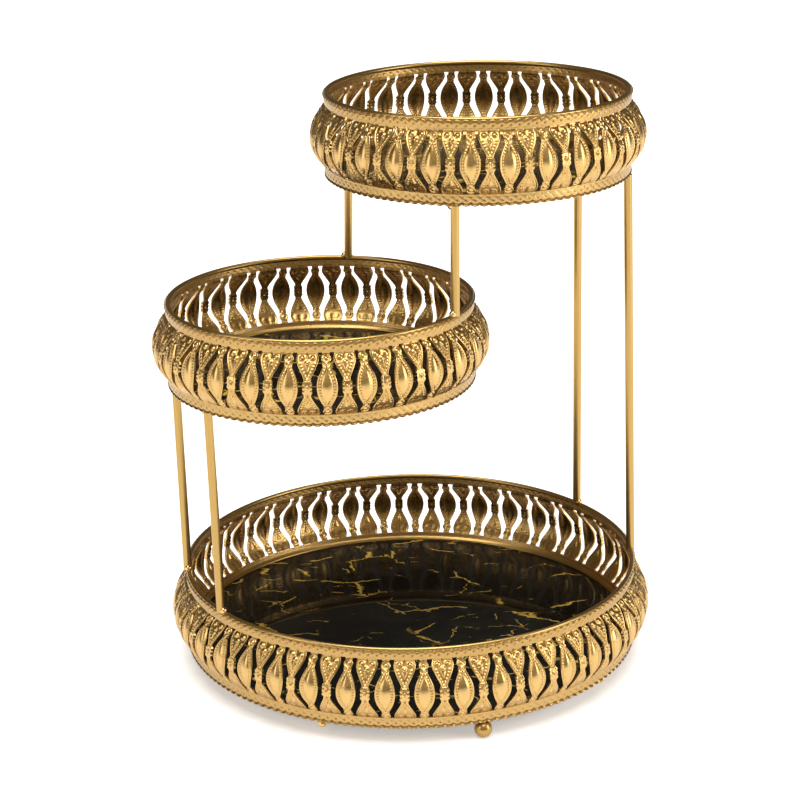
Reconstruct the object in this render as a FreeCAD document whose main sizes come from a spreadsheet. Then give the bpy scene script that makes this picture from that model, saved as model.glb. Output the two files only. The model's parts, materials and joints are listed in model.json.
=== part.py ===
"""Three-tier serving stand: round lace-walled trays on straight rods.

Frame: millimetres, +Z up, front towards -Y, origin on the table under the
middle of the stand's bounding box.  Every driving size is a cell of the
"Sizes" sheet.
"""
import FreeCAD
import Part

import math
import os

import Sketcher

SIZES = (
    # overall
    ("lower_radius", 150.0, "outer radius of the lower tray's base band"),
    ("small_radius", 98.1, "the same radius on the middle and upper trays"),
    ("lower_base", 10.6, "height of the lower tray's underside"),
    ("middle_base", 197.7, "height of the middle tray's underside"),
    ("upper_base", 319.8, "height of the upper tray's underside"),
    ("lower_x", 1.2, "centre of the lower tray"),
    ("lower_y", 0.0, "centre of the lower tray"),
    ("middle_x", -53.0, "centre of the middle tray"),
    ("middle_y", -21.9, "centre of the middle tray"),
    ("upper_x", 49.4, "centre of the upper tray"),
    ("upper_y", 24.0, "centre of the upper tray"),
    # one tray's section, measured from its underside and its base radius
    ("band_thickness", 1.2, "sheet of the plaited bands"),
    ("base_band_top", 7.4, "top edge of the lower plaited band"),
    ("lace_thickness", 1.0, "sheet of the lace wall"),
    ("bulge_height", 24.0, "height of the widest point of the wall"),
    ("bulge_depth", 8.7, "how far the wall swells past the base"),
    ("lace_top", 45.6, "top edge of the lace wall"),
    ("rim_inset", 1.9, "how far the rim wire stands in from the base"),
    ("rim_height", 52.6, "centre of the rim wire"),
    ("wire_diameter", 3.2, "rim wire"),
    ("rim_band_top", 50.95, "top edge of the upper plaited band, under the wire"),
    ("hoop_top", 4.4, "top of the smooth base hoop"),
    ("hoop_inner", 4.6, "how far the hoop's bore stands in from the base"),
    ("ledge_inner", 12.0, "how far the ledge under the glass reaches in"),
    ("ledge_thickness", 0.8, "sheet of that ledge"),
    ("glass_inset", 5.2, "how far the glass edge stands in from the base"),
    ("glass_lift", 1.0, "underside of the glass above the tray's underside"),
    ("glass_thickness", 2.7, "glass plate"),
    ("glass_edge", 0.4, "polished edge of the glass"),
    # openwork
    ("lower_repeats", 41, "petal and heart pairs round the lower wall"),
    ("small_repeats", 28, "the same on the two small trays"),
    ("lower_turn", -87.5, "direction of one petal of the lower wall"),
    ("middle_turn", -86.35, "the same on the middle wall"),
    ("upper_turn", -81.76, "the same on the upper wall"),
    ("slot_bottom", 8.6, "lower end of the slots"),
    ("slot_top", 44.6, "upper end of the slots"),
    # rods, feet and floor wires
    ("rod_diameter", 5.6, "rods between the trays"),
    ("rod_out", 0.3, "rod centre outside the rim wire's centre"),
    ("weld_radius", 2.3, "weld beads"),
    ("ball_radius", 5.6, "ball feet"),
    ("ball_top", 5.2, "upper flat above the ball's centre"),
    ("ball_bottom", 5.4, "lower flat below the ball's centre"),
    ("ball_in", 3.0, "ball centre in from the base radius"),
    ("foot_azimuth", -73.0, "direction of the front foot"),
    ("floor_wire_diameter", 4.0, "wires under the lower tray"),
    ("floor_wire_offset", 93.0, "their distance from the tray's centre line"),
    ("floor_wire_reach", 146.6, "radius that their ends come to"),
)

# One slot's two edges, bottom to top: share of the slot's height, distance from
# the petal's centre line to the petal's edge and to the heart's edge, both as
# a share of half the pattern's pitch.
SLOT_EDGES = (
    (0.00, 0.250, 0.470),
    (0.12, 0.275, 0.425),
    (0.28, 0.420, 0.600),
    (0.50, 0.520, 0.790),
    (0.72, 0.420, 0.600),
    (0.88, 0.275, 0.425),
    (1.00, 0.250, 0.470),
)

# Rods: tray below, tray above, azimuth of the foot on the rim below, head
# position less foot position, and the side of the foot (+1 anticlockwise) and
# the bearing of the head on which the weld shows.
RODS = {
    "rod_lower_middle_outer": ("lower", "middle", -173.5, (-1.4, 0.1), 1, 60.0),
    "rod_lower_middle_front": ("lower", "middle", -144.2, (-2.1, -0.8), 1, 150.0),
    "rod_middle_upper_back": ("middle", "upper", 80.1, (1.8, -2.6), 1, -30.0),
    "rod_middle_upper_front": ("middle", "upper", -29.0, (0.5, -0.5), -1, 180.0),
    "rod_lower_upper_back": ("lower", "upper", 36.5, (-1.2, 0.3), -1, 200.0),
    "rod_lower_upper_outer": ("lower", "upper", 1.8, (-5.5, 0.4), 1, 180.0),
}

TRAYS = {
    "lower": ("lower_radius", "lower_repeats", "lower_turn"),
    "middle": ("small_radius", "small_repeats", "middle_turn"),
    "upper": ("small_radius", "small_repeats", "upper_turn"),
}

FOOT_NAMES = ("ball_foot_front", "ball_foot_right", "ball_foot_left")

doc = FreeCAD.newDocument("serving_stand")
sheet = doc.addObject("Spreadsheet::Sheet", "Sizes")
for row, (alias, value, note) in enumerate(SIZES, start=1):
    sheet.set("A%d" % row, alias)
    sheet.set("B%d" % row, str(value))
    sheet.set("C%d" % row, note)
    sheet.setAlias("B%d" % row, alias)
doc.recompute()

nodes = []


def size(alias):
    """Value of one cell of the sheet."""
    return float(getattr(sheet, alias))


def cell(alias):
    """Expression that reads one cell of the sheet."""
    return "Sizes." + alias


def keep(obj, label):
    """Name an object as one of the stand's pieces."""
    obj.Label = label
    nodes.append(obj)
    return obj


def tray_centre(tray):
    """Centre of a tray's underside."""
    return FreeCAD.Vector(size(tray + "_x"), size(tray + "_y"), size(tray + "_base"))


def origin_feature(body, role):
    """One of a body's origin planes or axes."""
    for feature in body.Origin.OriginFeatures:
        if feature.Role == role:
            return feature
    raise ValueError("no origin feature " + role)


def new_body(name, placement):
    """PartDesign body in its place."""
    body = doc.addObject("PartDesign::Body", name)
    body.Placement = placement
    return body


def new_sketch(body, name, role="XZ_Plane"):
    """Sketch on one of the body's origin planes."""
    sketch = body.newObject("Sketcher::SketchObject", name)
    sketch.AttachmentSupport = [(origin_feature(body, role), "")]
    sketch.MapMode = "FlatFace"
    return sketch


def dimension(sketch, kind, arguments, name, expression):
    """Dimensional constraint bound to the sheet."""
    index = sketch.addConstraint(Sketcher.Constraint(kind, *arguments))
    sketch.renameConstraint(index, name)
    sketch.setExpression("Constraints." + name, expression)


def revolve(body, sketch, name):
    """Full turn of a sketch about the vertical axis."""
    turn = body.newObject("PartDesign::Revolution", name)
    turn.Profile = sketch
    turn.ReferenceAxis = (sketch, ["V_Axis"])
    turn.Angle = 360.0
    body.Tip = turn
    return turn


def ring_section(body, name, corners):
    """Revolve a closed section given by corner expressions (radius, height).

    Each corner is placed from the body's axis and its underside, so every
    corner follows the sheet.
    """
    sketch = new_sketch(body, name + "_section")
    values = [[sketch.evalExpression(text).Value if hasattr(sketch.evalExpression(text), "Value")
               else float(sketch.evalExpression(text)) for text in corner]
              for corner in corners]
    count = len(corners)
    for i in range(count):
        start = FreeCAD.Vector(values[i][0], values[i][1], 0)
        end = FreeCAD.Vector(values[(i + 1) % count][0], values[(i + 1) % count][1], 0)
        sketch.addGeometry(Part.LineSegment(start, end), False)
    for i in range(count):
        sketch.addConstraint(Sketcher.Constraint("Coincident", i, 2, (i + 1) % count, 1))
    for i, (radius, height) in enumerate(corners):
        dimension(sketch, "DistanceX", (-1, 1, i, 1, values[i][0]), "radius_%d" % i, radius)
        if abs(values[i][1]) < 1e-9:
            sketch.addConstraint(Sketcher.Constraint("PointOnObject", i, 1, -1))
        else:
            dimension(sketch, "DistanceY", (-1, 1, i, 1, values[i][1]), "height_%d" % i, height)
    return revolve(body, sketch, name + "_turn")


def wall_radius(radius, height):
    """Outer radius of the lace wall at a height above the underside."""
    bottom = size("base_band_top")
    widest = size("bulge_height")
    top = size("lace_top")
    depth = size("bulge_depth")
    inset = size("rim_inset") - size("band_thickness") / 2
    if height < widest:
        share = (widest - height) / (widest - bottom)
        return radius + depth - depth * share ** 2
    share = (height - widest) / (top - widest)
    return radius + depth - (depth + inset) * share ** 2


def make_rim_wire(tray, place):
    """Smooth wire round the top of a tray."""
    radius = TRAYS[tray][0]
    body = new_body(tray + "_rim_wire_body", place)
    sketch = new_sketch(body, tray + "_rim_wire_section")
    ring = size(radius) - size("rim_inset")
    centre = FreeCAD.Vector(ring, size("rim_height"), 0)
    sketch.addGeometry(Part.Circle(centre, FreeCAD.Vector(0, 0, 1), size("wire_diameter") / 2))
    dimension(sketch, "DistanceX", (-1, 1, 0, 3, ring), "ring",
              "%s - %s" % (cell(radius), cell("rim_inset")))
    dimension(sketch, "DistanceY", (-1, 1, 0, 3, size("rim_height")), "height",
              cell("rim_height"))
    dimension(sketch, "Diameter", (0, size("wire_diameter")), "thick", cell("wire_diameter"))
    revolve(body, sketch, tray + "_rim_wire_turn")
    keep(body, tray + "_rim_wire")


def make_band(tray, place, label, inset, bottom, top):
    """Plain ring for one of the plaited bands of a tray."""
    outer = "%s - (%s)" % (cell(TRAYS[tray][0]), inset)
    inner = "%s - %s" % (outer, cell("band_thickness"))
    body = new_body(tray + label + "_body", place)
    ring_section(body, tray + label,
                 ((inner, bottom), (outer, bottom), (outer, top), (inner, top)))
    keep(body, tray + label)


def slot_tool(radius, half_pitch, side):
    """Wavy cutter for one slot, running out along +X."""
    start = radius - size("bulge_depth")
    bottom = size("slot_bottom")
    reach = size("slot_top") - bottom
    petal = [FreeCAD.Vector(start, side * half_pitch * near, bottom + reach * share)
             for share, near, _ in SLOT_EDGES]
    heart = [FreeCAD.Vector(start, side * half_pitch * far, bottom + reach * share)
             for share, _, far in SLOT_EDGES]
    edges = [Part.makeLine(petal[-1], heart[-1]), Part.makeLine(heart[0], petal[0])]
    for points in (petal, heart):
        curve = Part.BSplineCurve()
        curve.interpolate(points)
        edges.append(curve.toShape())
    outline = Part.Wire(Part.sortEdges(edges)[0])
    return Part.Face(outline).extrude(FreeCAD.Vector(3 * size("bulge_depth"), 0, 0))


def lace_section(radius):
    """Section of the bulging wall, in the XZ plane."""
    low = size("base_band_top")
    high = size("lace_top")
    steps = 9
    heights = [low + (high - low) * i / (steps - 1) for i in range(steps)]
    outer = [FreeCAD.Vector(wall_radius(radius, z), 0, z) for z in heights]
    inner = [point - FreeCAD.Vector(size("lace_thickness"), 0, 0) for point in outer]
    edges = [Part.makeLine(inner[0], outer[0]), Part.makeLine(outer[-1], inner[-1])]
    for points in (outer, inner):
        curve = Part.BSplineCurve()
        curve.interpolate(points)
        edges.append(curve.toShape())
    return Part.Face(Part.Wire(Part.sortEdges(edges)[0]))


def make_lace(tray, place):
    """Bulging openwork wall: one petal-and-heart repeat, turned round the tray.

    The repeat is cut once.  Its copies share their end edges exactly, so their
    other faces are sewn straight into one closed wall.
    """
    radius_name, repeats_name, turn_name = TRAYS[tray]
    radius = size(radius_name)
    repeats = int(size(repeats_name))
    pitch = 360.0 / repeats
    origin = FreeCAD.Vector()
    upright = FreeCAD.Vector(0, 0, 1)

    section = lace_section(radius)
    section.rotate(origin, upright, -pitch / 2)
    repeat = section.revolve(origin, upright, pitch)
    half_pitch = math.pi * (radius + size("bulge_depth") / 2) / repeats
    plain_volume = repeat.Volume
    repeat = repeat.cut([slot_tool(radius, half_pitch, side) for side in (1, -1)])
    if repeat.Volume >= plain_volume:
        raise ValueError("slots of %s cut nothing" % tray)

    half_angle = math.radians(pitch / 2)
    skin = []
    for face in repeat.Faces:
        middle = face.CenterOfMass
        at_end = abs(abs(math.atan2(middle.y, middle.x)) - half_angle) < 1e-7
        if not (at_end and isinstance(face.Surface, Part.Plane)):
            skin.append(face)
    faces = []
    for index in range(repeats):
        for face in skin:
            copy = face.copy()
            copy.rotate(origin, upright, pitch * index)
            faces.append(copy)
    wall = Part.makeCompound(faces)
    wall.sewShape(1e-4)
    solid = Part.Solid(wall.Shells[0])
    if abs(solid.Volume - repeats * repeat.Volume) > 1e-3 * solid.Volume:
        raise ValueError("wall of %s is not closed" % tray)

    gallery = doc.addObject("Part::Feature", tray + "_lace")
    gallery.Shape = solid
    gallery.Placement = place.multiply(FreeCAD.Placement(
        origin, FreeCAD.Rotation(upright, size(turn_name))))
    keep(gallery, tray + "_lace_gallery")


def make_hoop(tray, place):
    """Smooth base hoop with the ledge that the glass lies on."""
    base = cell(TRAYS[tray][0])
    outer = "%s - %s" % (base, cell("band_thickness"))
    bore = "%s - %s" % (base, cell("hoop_inner"))
    lip = "%s - %s" % (base, cell("ledge_inner"))
    body = new_body(tray + "_hoop_body", place)
    ring_section(body, tray + "_hoop",
                 ((lip, "0"), (outer, "0"), (outer, cell("hoop_top")),
                  (bore, cell("hoop_top")), (bore, cell("ledge_thickness")),
                  (lip, cell("ledge_thickness"))))
    keep(body, tray + "_base_hoop")


def make_glass(tray, place):
    """Round glass plate with a polished edge, lying loose in the hoop."""
    body = new_body(tray + "_glass_body", place)
    low = cell("glass_lift")
    high = "%s + %s" % (low, cell("glass_thickness"))
    edge = "%s - %s" % (cell(TRAYS[tray][0]), cell("glass_inset"))
    inner = "%s - %s" % (edge, cell("glass_edge"))
    ease = cell("glass_edge")
    ring_section(body, tray + "_glass",
                 (("0", low), (inner, low), (edge, "%s + %s" % (low, ease)),
                  (edge, "%s - %s" % (high, ease)), (inner, high), ("0", high)))
    keep(body, tray + "_glass_plate")


def rim_point(tray, azimuth, out=0.0):
    """Point on a tray's rim wire centre line."""
    ring = size(TRAYS[tray][0]) - size("rim_inset") + out
    angle = math.radians(azimuth)
    lift = FreeCAD.Vector(ring * math.cos(angle), ring * math.sin(angle), size("rim_height"))
    return tray_centre(tray) + lift


def make_rod(label, wires):
    """Straight rod, fitted over the rim wire that it stands on."""
    below, above, azimuth, (lean_x, lean_y), _, _ = RODS[label]
    foot = rim_point(below, azimuth, size("rod_out"))
    head = FreeCAD.Vector(foot.x + lean_x, foot.y + lean_y, tray_centre(above).z)
    axis = head - foot
    bar = doc.addObject("Part::Cylinder", label + "_bar")
    bar.setExpression("Radius", cell("rod_diameter") + " / 2")
    rise = "(%s) - (%s + %s)" % (cell(above + "_base"), cell(below + "_base"),
                                 cell("rim_height"))
    bar.setExpression("Height", "sqrt((%s)^2 + %g)" % (rise, lean_x ** 2 + lean_y ** 2))
    bar.Placement = FreeCAD.Placement(
        foot, FreeCAD.Rotation(FreeCAD.Vector(0, 0, 1), axis))
    rod = doc.addObject("Part::Cut", label + "_fitted")
    rod.Base = bar
    rod.Tool = wires[below]
    keep(rod, label)
    return bar, foot, head


def make_bead(name, centre, tools, half=False):
    """Weld bead, cut to the faces that it joins."""
    ball = doc.addObject("Part::Sphere", name + "_ball")
    ball.setExpression("Radius", cell("weld_radius"))
    if half:
        ball.Angle2 = 0.0
    ball.Placement.Base = centre
    bead = ball
    for index, tool in enumerate(tools):
        cut = doc.addObject("Part::Cut", "%s_cut_%d" % (name, index))
        cut.Base = bead
        cut.Tool = tool
        bead = cut
    return bead


def group(label, members):
    """Several separate solids kept as one piece."""
    compound = doc.addObject("Part::Compound", label + "_group")
    compound.Links = members
    keep(compound, label)


def make_rods_and_welds():
    """Rods, with the beads at their feet and heads."""
    wires = {}
    for tray in ("lower", "middle"):
        ring = doc.addObject("Part::Torus", tray + "_wire_tool")
        ring.setExpression("Radius1", "%s - %s" % (cell(TRAYS[tray][0]), cell("rim_inset")))
        ring.setExpression("Radius2", cell("wire_diameter") + " / 2")
        ring.Placement.Base = tray_centre(tray) + FreeCAD.Vector(0, 0, size("rim_height"))
        wires[tray] = ring
    feet = {"lower": [], "middle": []}
    heads = {"middle": [], "upper": []}
    for label, (below, above, azimuth, _, side, bearing) in RODS.items():
        bar, foot, head = make_rod(label, wires)
        ring = size(TRAYS[below][0]) - size("rim_inset")
        step = math.degrees(size("rod_diameter") / 2 / ring) * 0.9
        beside = rim_point(below, azimuth + side * step)
        beside.z += size("wire_diameter") / 2
        feet[below].append(make_bead(label + "_foot_bead", beside, [bar, wires[below]]))
        angle = math.radians(bearing)
        shift = size("rod_diameter") / 2 * 0.9
        under = head + FreeCAD.Vector(shift * math.cos(angle), shift * math.sin(angle), 0)
        heads[above].append(make_bead(label + "_head_bead", under, [bar], half=True))
    for tray, members in feet.items():
        group(tray + "_rim_welds", members)
    for tray, members in heads.items():
        group(tray + "_base_welds", members)


def make_feet():
    """Three balls under the lower tray, flattened where they are fixed."""
    for index, label in enumerate(FOOT_NAMES):
        ball = doc.addObject("Part::Sphere", label + "_ball")
        ball.setExpression("Radius", cell("ball_radius"))
        ball.setExpression("Angle2", "asin(%s / %s)" % (cell("ball_top"), cell("ball_radius")))
        ball.setExpression("Angle1", "-asin(%s / %s)" % (cell("ball_bottom"), cell("ball_radius")))
        angle = math.radians(size("foot_azimuth") + 120 * index)
        ring = size("lower_radius") - size("ball_in")
        ball.Placement.Base = FreeCAD.Vector(
            size("lower_x") + ring * math.cos(angle),
            size("lower_y") + ring * math.sin(angle), size("ball_bottom"))
        keep(ball, label)


def make_floor_wires():
    """Two round-ended wires across the underside of the lower tray."""
    radius = size("floor_wire_diameter") / 2
    offset = size("floor_wire_offset")
    reach = size("floor_wire_reach")
    length = 2 * math.sqrt(reach ** 2 - offset ** 2)
    angle = size("foot_azimuth")
    turn = FreeCAD.Rotation(FreeCAD.Vector(0, 0, 1), angle)
    for label, side in (("floor_wire_left", -1), ("floor_wire_right", 1)):
        centre = turn.multVec(FreeCAD.Vector(0, side * offset, 0))
        centre += FreeCAD.Vector(size("lower_x"), size("lower_y"), 0)
        centre.z = size("lower_base") - radius
        body = new_body(label + "_body", FreeCAD.Placement(centre, turn))
        sketch = new_sketch(body, label + "_section", "XY_Plane")
        half = length / 2
        ends = half - radius
        sketch.addGeometry(Part.LineSegment(FreeCAD.Vector(-half, 0, 0),
                                            FreeCAD.Vector(half, 0, 0)), False)
        middle = math.sqrt(0.5) * radius
        sketch.addGeometry(Part.Arc(FreeCAD.Vector(half, 0, 0),
                                    FreeCAD.Vector(ends + middle, middle, 0),
                                    FreeCAD.Vector(ends, radius, 0)), False)
        sketch.addGeometry(Part.LineSegment(FreeCAD.Vector(ends, radius, 0),
                                            FreeCAD.Vector(-ends, radius, 0)), False)
        sketch.addGeometry(Part.Arc(FreeCAD.Vector(-ends, radius, 0),
                                    FreeCAD.Vector(-ends - middle, middle, 0),
                                    FreeCAD.Vector(-half, 0, 0)), False)
        turned = body.newObject("PartDesign::Revolution", label + "_turn")
        turned.Profile = sketch
        turned.ReferenceAxis = (sketch, ["H_Axis"])
        turned.Angle = 360.0
        body.Tip = turned
        keep(body, label)


for tray_name in TRAYS:
    here = FreeCAD.Placement(tray_centre(tray_name), FreeCAD.Rotation())
    make_rim_wire(tray_name, here)
    rim_band_inset = "%s - %s / 2" % (cell("rim_inset"), cell("band_thickness"))
    make_band(tray_name, here, "_rim_braid", rim_band_inset,
              cell("lace_top"), cell("rim_band_top"))
    make_lace(tray_name, here)
    make_band(tray_name, here, "_base_braid", "0", "0", cell("base_band_top"))
    make_hoop(tray_name, here)
    make_glass(tray_name, here)
make_rods_and_welds()
make_feet()
make_floor_wires()
doc.recompute()

for obj in doc.Objects:
    if "Invalid" in obj.State or "Error" in obj.State:
        raise ValueError("%s is %s" % (obj.Label, obj.State))
for obj in nodes:
    if obj.Shape.isNull() or not obj.Shape.isValid():
        raise ValueError("%s has no valid shape" % obj.Label)
    if not obj.Shape.Solids:
        raise ValueError("%s has no solid" % obj.Label)

os.makedirs("parts", exist_ok=True)
for obj in nodes:
    obj.Shape.exportStep("parts/%s.step" % obj.Label)
    box = obj.Shape.BoundBox
    print("%-26s solids %d volume %9.1f z %.1f to %.1f" % (
        obj.Label, len(obj.Shape.Solids), obj.Shape.Volume, box.ZMin, box.ZMax))
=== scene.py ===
"""Looks of a tiered serving stand: pressed gold lace walls and black marble glass floors.

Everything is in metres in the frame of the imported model: +Z up, front towards -Y.
Sizes inside the classes are in millimetres, as a maker writes them.
"""
from __future__ import annotations

import json
import logging
import math
from collections.abc import Mapping, Sequence
from dataclasses import dataclass, field
from enum import Enum

import bpy
import numpy as np
from mathutils import Matrix, Vector

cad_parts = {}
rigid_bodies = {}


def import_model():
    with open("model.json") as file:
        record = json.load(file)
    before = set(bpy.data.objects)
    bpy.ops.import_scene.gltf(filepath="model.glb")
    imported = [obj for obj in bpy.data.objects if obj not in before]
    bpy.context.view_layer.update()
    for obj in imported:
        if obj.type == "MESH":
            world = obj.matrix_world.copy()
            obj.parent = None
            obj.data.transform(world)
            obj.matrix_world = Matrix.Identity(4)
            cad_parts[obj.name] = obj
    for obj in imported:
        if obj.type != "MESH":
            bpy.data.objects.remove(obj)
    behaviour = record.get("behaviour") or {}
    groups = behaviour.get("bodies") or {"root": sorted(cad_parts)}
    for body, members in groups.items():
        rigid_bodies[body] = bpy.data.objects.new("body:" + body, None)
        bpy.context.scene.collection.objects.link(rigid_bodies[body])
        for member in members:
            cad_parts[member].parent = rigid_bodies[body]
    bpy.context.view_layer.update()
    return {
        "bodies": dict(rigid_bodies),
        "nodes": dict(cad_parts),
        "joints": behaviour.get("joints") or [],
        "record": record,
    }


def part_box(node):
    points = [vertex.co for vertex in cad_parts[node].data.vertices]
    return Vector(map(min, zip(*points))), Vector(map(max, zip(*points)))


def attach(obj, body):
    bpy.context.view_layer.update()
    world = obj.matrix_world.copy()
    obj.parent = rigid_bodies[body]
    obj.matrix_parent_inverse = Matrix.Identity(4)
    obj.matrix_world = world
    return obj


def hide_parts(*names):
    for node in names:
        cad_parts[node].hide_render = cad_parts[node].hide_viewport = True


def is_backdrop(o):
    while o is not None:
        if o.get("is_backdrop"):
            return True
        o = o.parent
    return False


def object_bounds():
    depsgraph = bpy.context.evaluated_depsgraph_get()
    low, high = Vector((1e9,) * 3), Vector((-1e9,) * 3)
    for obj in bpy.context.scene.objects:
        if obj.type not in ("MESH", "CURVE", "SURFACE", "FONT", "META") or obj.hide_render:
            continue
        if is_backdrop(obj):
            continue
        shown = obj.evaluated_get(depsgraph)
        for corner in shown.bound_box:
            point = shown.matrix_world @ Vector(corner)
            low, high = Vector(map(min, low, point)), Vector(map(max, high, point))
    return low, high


LOG = logging.getLogger("serving_stand")
MM = 0.001
ROOT_BODY = "stand"
MIX_SHARE, MIX_FIRST, MIX_SECOND, MIX_COLOUR = 0, 6, 7, 2
# Point attribute with the height of the pressed relief; the gold finishes paint shade where it is
# low.
RELIEF = "relief"
SHARP_ANGLE = 42.0
Array = np.ndarray
Colour = tuple[float, float, float]


# ---------------------------------------------------------------- shader nodes


class Wire:
    """A node's output socket that takes part in sums."""

    def __init__(self, bench: "Bench", socket: bpy.types.NodeSocket) -> None:
        """Keep the bench that the node stands on, and its socket.

        Args:
            bench: The bench that adds further nodes.
            socket: The output socket.
        """
        self.bench = bench
        self.socket = socket

    def _math(self, operation: str, first: object, second: object) -> "Wire":
        """Add a Math node.

        Args:
            operation: The node's operation.
            first: Its first value or link.
            second: Its second value or link.

        Returns:
            The node's result.
        """
        return self.bench.node("ShaderNodeMath", {"operation": operation}, {0: first, 1: second})

    def __add__(self, other: object) -> "Wire":
        """Sum."""
        return self._math("ADD", self, other)

    __radd__ = __add__

    def __sub__(self, other: object) -> "Wire":
        """Difference."""
        return self._math("SUBTRACT", self, other)

    def __rsub__(self, other: object) -> "Wire":
        """Reflected difference."""
        return self._math("SUBTRACT", other, self)

    def __mul__(self, other: object) -> "Wire":
        """Product."""
        return self._math("MULTIPLY", self, other)

    __rmul__ = __mul__

    def clipped(self) -> "Wire":
        """The value held between 0 and 1."""
        return self.bench.node("ShaderNodeClamp", {}, {"Value": self})

    def stepped(self, low: float, high: float) -> "Wire":
        """Smooth step from 0 at low to 1 at high.

        Args:
            low: Value that gives 0.
            high: Value that gives 1.

        Returns:
            The stepped value.
        """
        settings = {"interpolation_type": "SMOOTHSTEP"}
        return self.bench.node(
            "ShaderNodeMapRange", settings, {"Value": self, "From Min": low, "From Max": high})


class Bench:
    """One material and the nodes that make it."""

    def __init__(self, name: str) -> None:
        """Start an empty material.

        Args:
            name: The material's name.
        """
        self.material = bpy.data.materials.new(name)
        self.material.use_nodes = True
        self.tree = self.material.node_tree
        self.tree.nodes.clear()

    def node(self, kind: str, settings: Mapping[str, object] | None = None,
             sockets: Mapping[str | int, object] | None = None,
             output: str | int = 0) -> Wire:
        """Add one node.

        Args:
            kind: The node's type.
            settings: Its settings, set before its sockets.
            sockets: Values or links of its input sockets.
            output: Name or number of the output that is wanted.

        Returns:
            That output.
        """
        node = self.tree.nodes.new(kind)
        for name, value in (settings or {}).items():
            setattr(node, name, value)
        for name, value in (sockets or {}).items():
            if isinstance(value, Wire):
                self.tree.links.new(value.socket, node.inputs[name])
            else:
                node.inputs[name].default_value = value
        outlet = node.outputs[output] if len(node.outputs) else None
        return Wire(self, outlet)

    def mix(self, share: object, first: object, second: object) -> Wire:
        """Blend two colours.

        Args:
            share: Share of the second colour.
            first: First colour or link.
            second: Second colour or link.

        Returns:
            The blended colour.
        """
        ends = [end if isinstance(end, Wire) else (*end, 1.0) for end in (first, second)]
        return self.node("ShaderNodeMix", {"data_type": "RGBA"},
                         {MIX_SHARE: share, MIX_FIRST: ends[0], MIX_SECOND: ends[1]}, MIX_COLOUR)

    def place(self, stretch: tuple[float, float, float] = (1.0, 1.0, 1.0),
              shift: tuple[float, float, float] = (0.0, 0.0, 0.0)) -> Wire:
        """Object coordinates, stretched and shifted.

        Args:
            stretch: Scale along each axis.
            shift: Shift along each axis in metres.

        Returns:
            The coordinates.
        """
        where = self.node("ShaderNodeTexCoord", output="Object")
        return self.node("ShaderNodeMapping", {},
                         {"Vector": where, "Location": shift, "Scale": stretch})

    def clouds(self, where: Wire, size: float, detail: float = 3.0,
               roughness: float = 0.5) -> Wire:
        """Soft noise.

        Args:
            where: Coordinates in metres.
            size: Size of its patches in millimetres.
            detail: Octaves.
            roughness: Weight of the finer octaves.

        Returns:
            The noise, about 0 to 1.
        """
        sockets = {"Vector": where, "Scale": 1 / (size * MM), "Detail": detail,
                   "Roughness": roughness}
        return self.node("ShaderNodeTexNoise", {}, sockets)

    def bump(self, height: Wire, depth: float) -> Wire:
        """Small relief.

        Args:
            height: Height from 0 to 1.
            depth: Its depth in millimetres.

        Returns:
            The bent normal.
        """
        return self.node("ShaderNodeBump", {}, {"Height": height, "Distance": depth * MM,
                                                "Strength": 1.0})

    def finish(self, sockets: Mapping[str | int, object]) -> bpy.types.Material:
        """End the material with one shader.

        Args:
            sockets: Values or links of the shader's sockets.

        Returns:
            The material.
        """
        shader = self.node("ShaderNodeBsdfPrincipled", {}, sockets)
        self.node("ShaderNodeOutputMaterial", {}, {"Surface": shader})
        return self.material


# -------------------------------------------------------------------- finishes


def shade(colour: Colour, share: float) -> Colour:
    """Darken a colour.

    Args:
        colour: The colour.
        share: Share of its light that is kept.

    Returns:
        The darker colour.
    """
    return tuple(share * part for part in colour)


@dataclass(frozen=True)
class GoldFinish:
    """Satin gold plating over metal, with shade painted into its hollows and pits. Patch and grain
    sizes and depths are in millimetres.
    """

    name: str
    face: Colour = (0.56, 0.365, 0.137)
    # Darker gold: tints the random patches, and is the colour of the shade painted into the
    # relief's hollows and pits.
    shade_and_tint: Colour = (0.40, 0.21, 0.04)
    satin: float = 0.29
    unevenness: float = 0.06
    grain_depth: float = 0.008
    uses_relief: bool = True
    tint_share: float = 0.14
    patch_size: float = 22.0
    patch_share: float = 0.35
    worn_size: float = 5.0
    grain_size: float = 0.9
    grain_roughness: float = 0.05
    # Painted shade: relief heights over which hollows and pits are darkened, and how strongly.
    hollow_range: tuple[float, float] = (-0.15, 0.35)
    hollow_shade_share: float = 0.35
    hollow_roughness: float = 0.06
    pit_shade_range: tuple[float, float] = (-0.45, -0.05)
    pit_shade_share: float = 0.7
    pit_shade_tone: float = 0.35

    def make(self) -> bpy.types.Material:
        """Build the material.

        Returns:
            The material.
        """
        bench = Bench(self.name)
        where = bench.place()
        patches = bench.clouds(where, self.patch_size).stepped(0.3, 0.7)
        grain = bench.clouds(where, self.grain_size, 4.0, 0.65)
        worn = bench.clouds(where, self.worn_size, 3.0, 0.6).stepped(0.42, 0.68)
        tinted = tuple((1 - self.tint_share) * face + self.tint_share * shade_and_tint
                       for face, shade_and_tint in zip(self.face, self.shade_and_tint, strict=True))
        tone = bench.mix(patches * self.patch_share, self.face, tinted)
        rough = self.satin + (worn - 0.5) * self.unevenness + (grain - 0.5) * self.grain_roughness
        # Painted shade: low places of the pressed relief are darkened towards the darker gold, pits
        # most of all; the hollows are also made rougher.
        if self.uses_relief:
            raised = bench.node("ShaderNodeAttribute", {"attribute_name": RELIEF}, output="Fac")
            depth = 1 - raised.stepped(*self.hollow_range)
            pit = 1 - raised.stepped(*self.pit_shade_range)
            tone = bench.mix(depth * self.hollow_shade_share, tone, self.shade_and_tint)
            tone = bench.mix(pit * self.pit_shade_share, tone, shade(self.shade_and_tint, self.pit_shade_tone))
            rough = rough + depth * self.hollow_roughness
        return bench.finish({"Base Color": tone, "Metallic": 1.0, "Roughness": rough.clipped(),
                             "Normal": bench.bump(grain, self.grain_depth)})


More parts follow.
